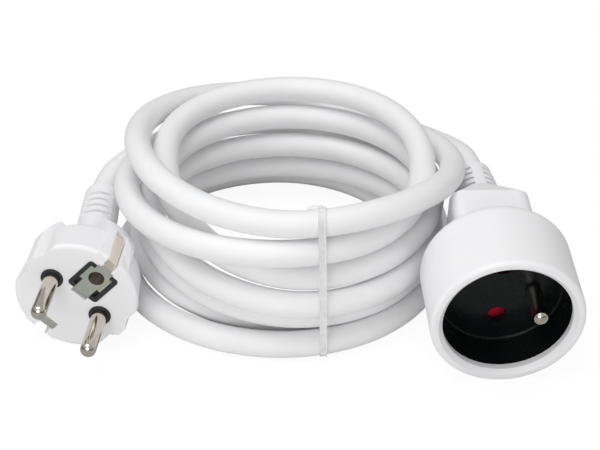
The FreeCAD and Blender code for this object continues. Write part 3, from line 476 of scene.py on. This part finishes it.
def coil_at(at):
    """The coil's distance from its middle and its height at each of these turn numbers. Both run
    through the passes on cubics whose slope at a pass is that between its neighbours."""
    turns, distance, height = np.array(PASSES).T
    i = np.clip(np.searchsorted(turns, at, side="right") - 1, 0, len(turns) - 2)
    step = np.diff(turns)[i]
    u = (at - turns[i]) / step
    smooth = []
    for values in (distance, height):
        slope = np.gradient(values, turns)
        rise = values[i + 1] - values[i]
        smooth.append((values[i] + slope[i] * step * u
                       + (3 * rise - (2 * slope[i] + slope[i + 1]) * step) * u ** 2
                       + ((slope[i] + slope[i + 1]) * step - 2 * rise) * u ** 3) / 1000)
    return smooth


def coil_points():
    """The coil's control points: the middle plus the distance along each bearing, and the height.
    The spline runs inside its points, so they stand out by 1 / cos of half the angle from one to
    the next."""
    at = np.arange(PASSES[0][0], PASSES[-1][0] + 1e-6, 1 / POINTS_PER_TURN)
    distance, height = coil_at(at)
    outward = distance / math.cos(math.pi / POINTS_PER_TURN)
    bearing = 2 * math.pi * at
    return list(COIL_MIDDLE + np.c_[outward * np.sin(bearing), outward * np.cos(bearing), height])


def cord_curve(name, points, radius):
    """One open NURBS spline through control points, with a round bevel."""
    curve = bpy.data.curves.new(name, "CURVE")
    curve.dimensions = "3D"
    spline = curve.splines.new("NURBS")
    spline.points.add(len(points) - 1)
    spline.points.foreach_set("co", np.c_[np.array(points), np.ones(len(points))].ravel())
    spline.order_u = 3
    spline.use_endpoint_u = True
    spline.use_smooth = True
    curve.resolution_u = 8
    curve.bevel_depth = radius
    curve.bevel_resolution = 8
    curve.use_fill_caps = True
    return add_object(name, curve)


def extruded_pvc():
    """Extruded soft PVC: IOR 1.53, satin, light passes a little way into it. The cores press out
    swellings 9 mm long, and the die leaves a fine skin, drawn 1 mm wide so that it shows."""
    made, tree, shader, place = material("extruded_pvc")
    swell = noise(tree, place, 110.0, 1.0)
    skin = noise(tree, place, 900.0)
    swollen = relief(tree, swell, 0.22, 0.0012)
    feed(shader, {
        "Base Color": blend_colours(tree, swell, "#f2f2f3", "#f8f8f9"),
        "IOR": 1.53,
        "Roughness": spread(tree, skin, 0.42, 0.54),
        "Subsurface Weight": 0.15,
        "Subsurface Radius": (1.0, 0.95, 0.9),
        "Subsurface Scale": 0.002,
        "Normal": relief(tree, skin, 0.06, 0.0003, Normal=swollen),
    })
    return made


cable = cord_curve("cable", (PLUG_LEAD + coil_points() + SOCKET_LEAD)[::-1], CABLE_DIAMETER / 2)
cable.data.materials.append(extruded_pvc())
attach(cable, "cord_set")
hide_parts("cable_to_plug", "cable_coil", "cable_to_socket")

# ------------------------------------------------------------------------------------------------
# Tie: a strap of clear film pulled round the front of the coil and welded to itself on top, where
# its two ends stand up as a short tab.
# ------------------------------------------------------------------------------------------------
TIE_X = -0.0543
TIE_WIDTH = 0.0023
TIE_LEAN = 0.0008
TIE_SLACK = 0.0002
FILM = 0.00018
BEAD = 0.00022
BEAD_WIDTH = 0.0003
BEAD_FLANK = 0.0001
# The turn numbers at which the strands pass the strap, a little before the front.
TIED = np.arange(7) + 0.469
# The tab is a flattened ball, 6 mm wide, 2.4 mm high and 0.5 mm thick, that leans back on the top
# strand by this many degrees.
TAB_MIDDLE = (TIE_X - 0.0014, -0.0163, 0.0512)
TAB_HALF_SIZE = (0.0030, 0.00025, 0.0012)
TAB_TILT = -25


def strap_mesh():
    """A closed band. For each direction round the bundle its path is at the strand that lies
    furthest that way, plus the cable's radius along the direction, which gives arcs round the
    outer strands and straight runs between them, and it leans sideways by TIE_LEAN from top to
    bottom. Across the band it is FILM thick, with a ridge BEAD higher along each edge."""
    distance, height = coil_at(TIED)
    forward = np.sqrt(distance ** 2 - (TIE_X - COIL_MIDDLE[0]) ** 2)
    strands = np.c_[COIL_MIDDLE[1] - forward, height]
    angle = np.linspace(0, 2 * math.pi, 240, endpoint=False)
    way = np.c_[np.cos(angle), np.sin(angle)]
    path = strands[np.argmax(strands @ way.T, 0)] + way * (CABLE_DIAMETER / 2 + TIE_SLACK)
    edge = TIE_WIDTH / 2
    ridge = edge - BEAD_WIDTH
    foot = ridge - BEAD_FLANK
    across = np.array([(-edge, 0.0), (-ridge, 0.0), (ridge, 0.0), (edge, 0.0), (edge, FILM + BEAD),
                       (ridge, FILM + BEAD), (foot, FILM), (-foot, FILM), (-ridge, FILM + BEAD),
                       (-edge, FILM + BEAD)])
    x = TIE_X + across[None, :, 0] + TIE_LEAN * (1 - path[:, 1:] / path[:, 1].max())
    flat = path[:, None, :] + way[:, None, :] * across[None, :, 1:]
    points = np.concatenate([x[..., None], flat], -1)
    here = np.arange(len(path))[:, None] * len(across)
    ahead = np.roll(here, -1)
    column = np.arange(len(across))
    beside = np.roll(column, -1)
    faces = np.stack([here + column, here + beside, ahead + beside, ahead + column], -1)
    return points.reshape(-1, 3), faces.reshape(-1, 4)


def clear_film():
    """Clear polypropylene film: IOR 1.49, glossy, and so thin that light goes straight through.
    Stretching has left it milky in 2 mm patches, and it is seen mostly by its edges."""
    made, tree, shader, place = material("clear_film")
    cloud = noise(tree, place, 500.0)
    edge = add_node(tree, "ShaderNodeLayerWeight", {"Blend": 0.35}).node.outputs["Facing"]
    milk = spread(tree, cloud, 0.45, 0.65)
    body = add_node(tree, "ShaderNodeMath", {0: edge, 1: 0.8, 2: milk}, operation="MULTIPLY_ADD")
    feed(shader, {
        "Base Color": blend_colours(tree, cloud, "#f4f5f5", "#ffffff"),
        "IOR": 1.49,
        "Roughness": spread(tree, cloud, 0.08, 0.25),
    })
    clear = add_node(tree, "ShaderNodeBsdfTransparent", {"Color": (1, 1, 1, 1)})
    mix = add_node(tree, "ShaderNodeMixShader", {"Fac": body, 1: clear, 2: shader.outputs[0]})
    feed(tree.nodes["Material Output"], {"Surface": mix})
    return made


points, faces = strap_mesh()
strap = add_object("film_strap", bpy.data.meshes.new("film_strap"))
strap.data.from_pydata(points.tolist(), [], faces.tolist())
strap.data.materials.append(clear_film())
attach(strap, "cord_set")
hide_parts("tie_strap", "tie_seam")

half_turn = np.linspace(0, math.pi, 15)
half_circle = np.c_[np.sin(half_turn), -np.cos(half_turn)]
tab = turned("film_tab", half_circle, Vector((0, 0, 0)), np.eye(3), steps=32)
tab.data.transform(Matrix.Translation(TAB_MIDDLE)
                   @ Matrix.Rotation(math.radians(TAB_TILT), 4, "X")
                   @ Matrix.Diagonal((*TAB_HALF_SIZE, 1)))
tab.data.materials.append(strap.data.materials[0])
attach(tab, "cord_set")

# ------------------------------------------------------------------------------------------------
# Stage: a white table that fills the view, a large soft lamp above and to the left, a weaker one
# in front, and the camera looking down at the cord from the front.
# ------------------------------------------------------------------------------------------------
OBJECT_MIDDLE = (-0.06, 0.02, 0.02)
SKY_STRENGTH = 0.46
CARD_GLOW = 1.06
CARD_GLOW_SHARE = 0.86


def white_card():
    """Matt white card. Seen directly it is nearly white and still takes a shadow. In reflections it
    is light grey, as is a table that the lamps light only in the middle."""
    made, tree, shader, _ = material("white_card")
    rays = tree.nodes.new("ShaderNodeLightPath")
    feed(shader, {
        "Base Color": blend_colours(tree, rays.outputs["Is Glossy Ray"], "#ececec", "#b4b4b4"),
        "Roughness": 0.9,
    })
    part = add_node(tree, "ShaderNodeMath", {0: rays.outputs["Is Camera Ray"], 1: CARD_GLOW_SHARE},
                    operation="MULTIPLY")
    glow = add_node(tree, "ShaderNodeEmission", {"Color": (1, 1, 1, 1), "Strength": CARD_GLOW})
    mix = add_node(tree, "ShaderNodeMixShader", {"Fac": part, 1: shader.outputs[0], 2: glow})
    feed(tree.nodes["Material Output"], {"Surface": mix})
    return made


bpy.ops.mesh.primitive_plane_add(size=8)
floor = bpy.context.object
floor.name = "floor"
floor.data.materials.append(white_card())


def softbox(name, place, target, size, power):
    """A square lamp that faces target."""
    lamp = add_object(name, bpy.data.lights.new(name, "AREA"))
    lamp.data.size = size
    lamp.data.energy = power
    lamp.location = place
    lamp.rotation_euler = (Vector(target) - Vector(place)).to_track_quat("-Z", "Y").to_euler()


def studio_world():
    """White all round for the diffuse light. In reflections it falls, from 27 degrees up, to dark
    grey at the horizon, as the unlit part of a studio does, which gives the metals their dark
    streaks."""
    world = bpy.data.worlds.new("studio")
    world.use_nodes = True
    tree = world.node_tree
    ray = tree.nodes.new("ShaderNodeLightPath").outputs["Is Glossy Ray"]
    way = tree.nodes.new("ShaderNodeTexCoord").outputs["Generated"]
    height = add_node(tree, "ShaderNodeSeparateXYZ", {"Vector": way}).node.outputs["Z"]
    dark = spread(tree, height, 0.06, 1.0, start=0.02, end=0.45)
    shade = add_node(tree, "ShaderNodeMix", {"Factor": ray, 2: 1.0, 3: dark})
    strength = add_node(tree, "ShaderNodeMath", {0: shade, 1: SKY_STRENGTH}, operation="MULTIPLY")
    feed(tree.nodes["Background"], {"Color": (1, 1, 1, 1), "Strength": strength})
    bpy.context.scene.world = world


softbox("lamp_above", place=(-0.25, -0.1, 0.9), target=OBJECT_MIDDLE, size=0.7, power=3.8)
softbox("lamp_front", place=(-0.3, -1.0, 0.45), target=OBJECT_MIDDLE, size=0.7, power=2.9)
studio_world()
bpy.context.scene.view_settings.view_transform = "Standard"

camera = add_object("camera", bpy.data.cameras.new("camera"))
camera.location = (-0.0608, -0.4405, 0.321)
camera.rotation_euler = (math.radians(57.0), 0, 0)
camera.data.lens = 102.0
camera.data.sensor_width = 36.0
bpy.context.scene.camera = camera
